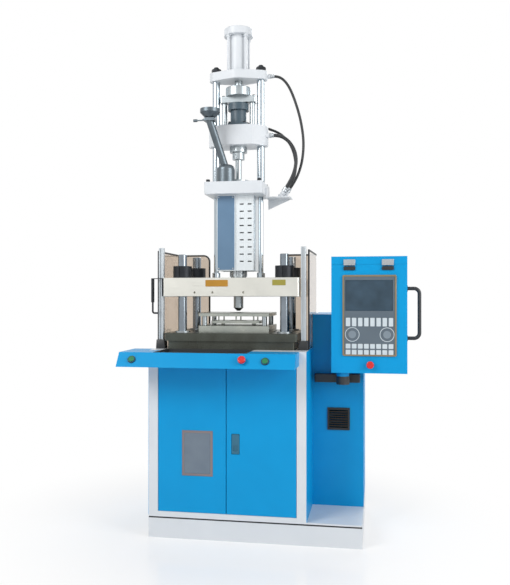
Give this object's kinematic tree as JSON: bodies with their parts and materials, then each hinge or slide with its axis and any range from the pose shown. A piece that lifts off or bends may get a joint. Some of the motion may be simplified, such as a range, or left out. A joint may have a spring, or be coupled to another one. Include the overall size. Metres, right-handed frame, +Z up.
{
  "type": "injection moulding machine",
  "caption": "Vertical injection moulding machine with a base cabinet, tie bar clamp, injection tower, side cabinet and swivelling control box.",
  "frame": {"origin": "on the floor, straight below the injection axis", "axes": "+Z up, +X to the control box, +Y to the back"},
  "size_m": [1.55, 1.004, 2.815],
  "materials": {
    "white_paint": "gloss white paint",
    "blue_paint": "gloss blue paint",
    "black_paint": "satin black paint",
    "dark_steel": "blackened steel",
    "machined_steel": "machined steel",
    "chrome": "ground and hard chromed",
    "aluminium": "bare aluminium",
    "clear_plastic": "clear sheet",
    "hose_rubber": "smooth black hose cover",
    "panel_plastic": "moulded dark grey",
    "window_plastic": "grey inspection window",
    "green_plastic": "moulded green",
    "red_plastic": "moulded red",
    "black_plastic": "moulded black"
  },
  "bodies": {
    "base": {"plinth": "white_paint", "machine_frame": "white_paint", "side_panels": "blue_paint", "rear_panel": "blue_paint", "deck_plate": "white_paint", "drip_tray": "black_paint", "control_apron": "blue_paint", "fixed_platen": "white_paint", "tie_bar_bushes": "machined_steel", "lower_tool_plate": "machined_steel", "tool_pillars": "machined_steel", "stripper_plate": "machined_steel", "clamp_cylinder": "white_paint", "platen_guards": "clear_plastic", "guard_posts": "aluminium", "oil_tank": "white_paint", "pump_motor": "black_paint", "side_cabinet": "blue_paint", "fan_grille": "black_plastic", "swivel_arm": "black_paint"},
    "clamp_unit": {"moving_platen": "machined_steel", "tie_bars": "chrome", "tie_bar_nuts": "dark_steel", "tail_plate": "white_paint", "clamp_ram": "chrome", "switch_arm": "white_paint", "guide_rods": "chrome"},
    "injection_carriage": {"injection_base": "white_paint", "barrel": "machined_steel", "heater_bands": "aluminium", "barrel_cover": "machined_steel", "columns": "chrome", "crown_plate": "white_paint", "injection_cylinder": "white_paint", "feed_chute": "aluminium", "hopper": "machined_steel", "hose_bracket": "white_paint", "crown_hose": "hose_rubber", "block_hose": "hose_rubber", "motor_hose": "hose_rubber"},
    "injection_head": {"injection_block": "white_paint", "screw_motor": "black_paint", "yoke_rods": "machined_steel", "thrust_yoke": "machined_steel"},
    "screw": {"screw": "machined_steel"},
    "hopper_gate": {"hopper_gate": "machined_steel"},
    "ejector": {"ejector_plate": "machined_steel"},
    "left_door": {"left_door": "blue_paint", "meter_window": "window_plastic"},
    "right_door": {"right_door": "blue_paint"},
    "door_latch": {"door_latch": "black_plastic"},
    "left_button": {"left_button": "green_plastic"},
    "right_button": {"right_button": "green_plastic"},
    "apron_stop": {"apron_stop": "red_plastic"},
    "side_door": {"side_door": "blue_paint"},
    "control_box": {"control_box": "blue_paint", "control_handle": "black_paint"},
    "control_door": {"control_door": "blue_paint", "operator_panel": "panel_plastic"},
    "box_stop": {"box_stop": "red_plastic"}
  },
  "joints": [
    {"name": "clamp_slide", "type": "slide", "parent": "base", "child": "clamp_unit", "axis": [0, 0, 1], "range_m": [-0.078, 0.01]},
    {"name": "carriage_lift", "type": "slide", "parent": "clamp_unit", "child": "injection_carriage", "axis": [0, 0, 1], "range_m": [0, 0.12]},
    {"name": "injection_stroke", "type": "slide", "parent": "injection_carriage", "child": "injection_head", "axis": [0, 0, 1], "range_m": [-0.095, 0.03], "deforming": ["block_hose", "motor_hose"]},
    {"name": "screw_spin", "type": "hinge", "parent": "injection_head", "child": "screw", "pos_m": [0, 0, 2.2], "axis": [0, 0, 1], "continuous": true},
    {"name": "gate_slide", "type": "slide", "parent": "injection_carriage", "child": "hopper_gate", "axis": [-1, 0, 0], "range_m": [0, 0.045]},
    {"name": "ejector_slide", "type": "slide", "parent": "base", "child": "ejector", "axis": [0, 0, 1], "range_m": [0, 0.025]},
    {"name": "left_door_hinge", "type": "hinge", "parent": "base", "child": "left_door", "pos_m": [-0.366, -0.3345, 0.53], "axis": [0, 0, -1], "range_deg": [0, 95]},
    {"name": "right_door_hinge", "type": "hinge", "parent": "base", "child": "right_door", "pos_m": [0.366, -0.3345, 0.53], "axis": [0, 0, 1], "range_deg": [0, 95]},
    {"name": "latch_hinge", "type": "hinge", "parent": "right_door", "child": "door_latch", "pos_m": [0.05, -0.336, 0.557], "axis": [-1, 0, 0], "range_deg": [0, 40], "stiffness_Nm_per_rad": 0.3},
    {"name": "left_button_push", "type": "slide", "parent": "base", "child": "left_button", "axis": [0, 0.8214, -0.5704], "range_m": [0, 0.004], "stiffness_N_per_m": 300, "springref_m": -0.005},
    {"name": "right_button_push", "type": "slide", "parent": "base", "child": "right_button", "axis": [0, 0.8214, -0.5704], "range_m": [0, 0.004], "stiffness_N_per_m": 300, "springref_m": -0.005},
    {"name": "apron_stop_push", "type": "slide", "parent": "base", "child": "apron_stop", "axis": [0, 0.8214, -0.5704], "range_m": [0, 0.006], "stiffness_N_per_m": 300, "springref_m": -0.005},
    {"name": "side_door_hinge", "type": "hinge", "parent": "base", "child": "side_door", "pos_m": [0.709, 0.46, 0.65], "axis": [0, 0, 1], "range_deg": [0, 110]},
    {"name": "box_swivel", "type": "hinge", "parent": "base", "child": "control_box", "pos_m": [0.6, -0.13, 0.87], "axis": [0, 0, 1], "range_deg": [-75, 20]},
    {"name": "control_door_hinge", "type": "hinge", "parent": "control_box", "child": "control_door", "pos_m": [0.741, -0.19, 1.4573], "axis": [-1, 0, 0], "range_deg": [0, 100]},
    {"name": "box_stop_push", "type": "slide", "parent": "control_door", "child": "box_stop", "axis": [0, 1, 0], "range_m": [0, 0.006], "stiffness_N_per_m": 300, "springref_m": -0.005}
  ]
}
